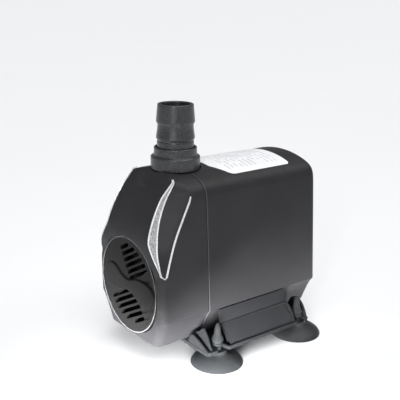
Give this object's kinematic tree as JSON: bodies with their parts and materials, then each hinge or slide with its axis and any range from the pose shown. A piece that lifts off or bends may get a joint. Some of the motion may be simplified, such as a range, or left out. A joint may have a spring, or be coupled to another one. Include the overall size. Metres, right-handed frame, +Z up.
{
  "type": "fountain submersible pump",
  "caption": "Submersible fountain pump with drafted box housing, slotted turning inlet dial, upright barbed hose outlet, silver trim and a splayed foot on suction cups.",
  "frame": {"origin": "centre of the footprint, on the plane of the suction cup rims", "axes": "+Z up along the outlet; the inlet dial faces -Y; the cable gland is on the +Y end; +X is across the body"},
  "size_m": [0.1378, 0.1538, 0.1801],
  "materials": {
    "bobbin_plastic": "satin",
    "ceramic": "ground ceramic",
    "chamber_plastic": "satin",
    "copper_wire": "enamelled winding wire",
    "cover_plastic": "satin moulded plastic, fine grain",
    "dial_plastic": "satin",
    "ferrite": "moulded ferrite magnet",
    "housing_plastic": "satin moulded plastic, fine grain",
    "impeller_plastic": "satin",
    "label_sheet": "printed sheet, no wording",
    "lamination_steel": "stacked laminations, varnished",
    "outlet_plastic": "satin, lightly speckled",
    "potting_resin": "cast resin",
    "rubber": "soft moulded rubber",
    "screw_steel": "plain stainless",
    "silver_trim": "grained silver foil with polished edges"
  },
  "bodies": {
    "pump_body": {"base_foot": "housing_plastic", "bobbin_left": "bobbin_plastic", "bobbin_right": "bobbin_plastic", "cable_gland": "rubber", "ceramic_shaft": "ceramic", "chamber_screw_1": "screw_steel", "chamber_screw_2": "screw_steel", "chamber_screw_3": "screw_steel", "chamber_screw_4": "screw_steel", "chamber_seal": "rubber", "coil_left": "copper_wire", "coil_right": "copper_wire", "front_bush": "rubber", "motor_housing": "housing_plastic", "outlet_gasket": "rubber", "pump_chamber": "chamber_plastic", "rating_label": "label_sheet", "rear_bush": "rubber", "rear_cover": "housing_plastic", "resin_fill": "potting_resin", "stator_core": "lamination_steel", "suction_cup_front_left": "rubber", "suction_cup_front_right": "rubber", "suction_cup_rear_left": "rubber", "suction_cup_rear_right": "rubber"},
    "front_cover": {"front_cover": "cover_plastic", "trim_left": "silver_trim", "trim_right": "silver_trim"},
    "inlet_dial": {"inlet_dial": "dial_plastic"},
    "rotor": {"impeller": "impeller_plastic", "magnet_rotor": "ferrite"},
    "hose_adapter": {"hose_adapter": "outlet_plastic"},
    "union_nut": {"union_nut": "outlet_plastic"}
  },
  "joints": [
    {"name": "front_cover_pull", "type": "slide", "parent": "pump_body", "child": "front_cover", "axis": [0, -1, 0], "range_m": [0, 0.05]},
    {"name": "dial_turn", "type": "hinge", "parent": "front_cover", "child": "inlet_dial", "pos_m": [0, -0.0748, 0.0533], "axis": [0, -1, 0], "range_deg": [0, 90]},
    {"name": "rotor_spin", "type": "hinge", "parent": "pump_body", "child": "rotor", "pos_m": [0, -0.01, 0.0533], "axis": [0, -1, 0], "continuous": true},
    {"name": "adapter_rise", "type": "slide", "parent": "pump_body", "child": "hose_adapter", "axis": [0, 0, 1], "range_m": [0, 0.004]},
    {"name": "union_nut_turn", "type": "hinge", "parent": "hose_adapter", "child": "union_nut", "pos_m": [0, -0.0335, 0.14], "axis": [0, 0, 1], "range_deg": [0, 720]}
  ],
  "couplings": [
    {"joint": "adapter_rise", "follows": "union_nut_turn", "m_per_rad": 0.00031831}
  ]
}
